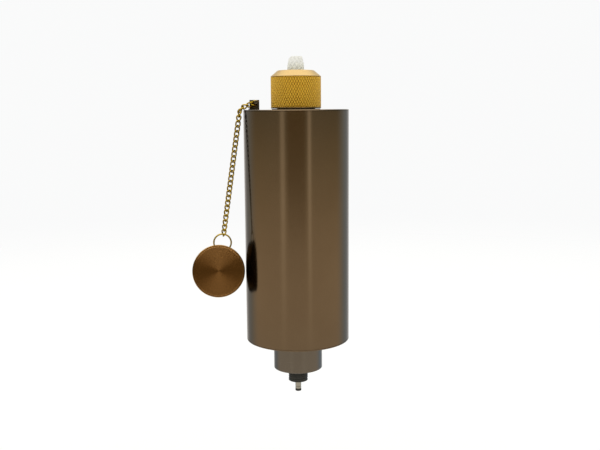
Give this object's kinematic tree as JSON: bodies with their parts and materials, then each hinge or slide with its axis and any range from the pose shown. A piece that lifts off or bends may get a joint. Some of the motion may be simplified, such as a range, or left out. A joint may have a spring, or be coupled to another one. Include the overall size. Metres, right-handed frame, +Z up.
{
  "type": "torch head",
  "caption": "Round bronze-toned garden torch head: oil canister, knurled wick collar, snuffer cap on a curb chain, pole neck with a screw coupling and plug.",
  "frame": {"origin": "centre of the pole neck's underside, where a pole seats", "axes": "+Z up along the canister to the wick, -Y towards the front, -X towards the chain and snuffer"},
  "size_m": [0.1344, 0.0888, 0.2901],
  "materials": {
    "bronzed_steel": "dark bronze tone, brushed round the body",
    "dark_steel": "dark, brushed upright",
    "collar_brass": "satin, diamond knurled",
    "neck_brass": "turned",
    "snuffer_brass": "turned face with a bow-tie sheen",
    "chain_brass": "bright drawn wire",
    "nickel": "nickel plated",
    "zinc_steel": "zinc plated",
    "black_plastic": "moulded",
    "black_rubber": "moulded",
    "glass_fibre": "braided rope",
    "opal_lens": "frosted",
    "board_green": "circuit board",
    "red_insulation": "wire insulation",
    "black_insulation": "wire insulation"
  },
  "bodies": {
    "canister": {"outer_shell": "bronzed_steel", "top_plate": "bronzed_steel", "bottom_plate": "bronzed_steel", "filler_neck": "neck_brass", "neck_tube": "bronzed_steel", "neck_floor": "bronzed_steel", "screw_coupling": "black_plastic", "coupling_screw_1": "zinc_steel", "coupling_screw_2": "zinc_steel", "coupling_screw_3": "zinc_steel", "plug_barrel": "nickel", "plug_insulator": "black_plastic", "plug_contact": "neck_brass", "led_board": "board_green", "light_lens": "opal_lens", "lead_positive": "red_insulation", "lead_negative": "black_insulation", "lead_grommet_right": "black_rubber", "lead_grommet_left": "black_rubber", "chain_tab": "dark_steel", "chain_screw": "dark_steel", "tab_rivet": "dark_steel"},
    "wick_holder": {"wick_sleeve": "neck_brass", "collar_gasket": "black_rubber"},
    "collar": {"wick_collar": "collar_brass"},
    "wick": {"wick": "glass_fibre"},
    "chain_rest": {"chain_link_01": "chain_brass", "chain_link_02": "chain_brass", "chain_link_03": "chain_brass"},
    "chain_a": {"chain_link_04": "chain_brass", "chain_link_05": "chain_brass", "chain_link_06": "chain_brass", "chain_link_07": "chain_brass", "chain_link_08": "chain_brass"},
    "chain_b": {"chain_link_09": "chain_brass", "chain_link_10": "chain_brass", "chain_link_11": "chain_brass", "chain_link_12": "chain_brass"},
    "chain_c": {"chain_link_13": "chain_brass", "chain_link_14": "chain_brass", "chain_link_15": "chain_brass", "chain_link_16": "chain_brass"},
    "chain_d": {"chain_link_17": "chain_brass", "chain_link_18": "chain_brass", "chain_link_19": "chain_brass", "chain_link_20": "chain_brass"},
    "chain_e": {"chain_link_21": "chain_brass", "chain_link_22": "chain_brass", "chain_link_23": "chain_brass", "chain_link_24": "chain_brass"},
    "chain_f": {"chain_link_25": "chain_brass", "chain_link_26": "chain_brass", "chain_link_27": "chain_brass", "chain_link_28": "chain_brass", "chain_link_29": "chain_brass"},
    "snuffer_ring": {"snuffer_ring": "chain_brass"},
    "snuffer_cap": {"snuffer_cap": "snuffer_brass"}
  },
  "joints": [
    {"name": "collar_rise", "type": "slide", "parent": "canister", "child": "wick_holder", "axis": [0, 0, 1], "range_m": [0, 0.0101]},
    {"name": "collar_turn", "type": "hinge", "parent": "wick_holder", "child": "collar", "pos_m": [0, 0, 0.2255], "axis": [0, 0, 1], "range_deg": [0, 1440]},
    {"name": "wick_feed", "type": "slide", "parent": "wick_holder", "child": "wick", "axis": [0, 0, 1], "range_m": [-0.003, 0.012]},
    {"name": "chain_lift", "type": "hinge", "parent": "canister", "child": "chain_rest", "pos_m": [-0.03348, -0.0059, 0.23], "axis": [-0.1736, 0.9848, 0], "range_deg": [0, 70]},
    {"name": "chain_swing_1", "type": "hinge", "parent": "chain_rest", "child": "chain_a", "pos_m": [-0.04433, -0.00782, 0.22621], "axis": [-0.1736, 0.9848, 0], "range_deg": [0, 35]},
    {"name": "chain_sway_1", "type": "hinge", "parent": "chain_a", "child": "chain_b", "pos_m": [-0.04943, -0.00872, 0.20636], "axis": [0.9848, 0.1736, 0], "range_deg": [-40, 40]},
    {"name": "chain_swing_2", "type": "hinge", "parent": "chain_b", "child": "chain_c", "pos_m": [-0.05189, -0.00915, 0.18975], "axis": [-0.1736, 0.9848, 0], "range_deg": [0, 35]},
    {"name": "chain_sway_2", "type": "hinge", "parent": "chain_c", "child": "chain_d", "pos_m": [-0.05435, -0.00958, 0.17314], "axis": [0.9848, 0.1736, 0], "range_deg": [-40, 40]},
    {"name": "chain_swing_3", "type": "hinge", "parent": "chain_d", "child": "chain_e", "pos_m": [-0.0568, -0.01002, 0.15652], "axis": [-0.1736, 0.9848, 0], "range_deg": [0, 35]},
    {"name": "chain_sway_3", "type": "hinge", "parent": "chain_e", "child": "chain_f", "pos_m": [-0.05926, -0.01045, 0.13991], "axis": [0.9848, 0.1736, 0], "range_deg": [-40, 40]},
    {"name": "ring_swing", "type": "hinge", "parent": "chain_f", "child": "snuffer_ring", "pos_m": [-0.06221, -0.01097, 0.11993], "axis": [0.9848, 0.1736, 0], "range_deg": [-60, 60]},
    {"name": "cap_swing", "type": "hinge", "parent": "snuffer_ring", "child": "snuffer_cap", "pos_m": [-0.0638, -0.01125, 0.10917], "axis": [0.9848, 0.1736, 0], "range_deg": [-12, 12]}
  ],
  "couplings": [
    {"joint": "collar_rise", "follows": "collar_turn", "m_per_rad": 0.00039789}
  ]
}
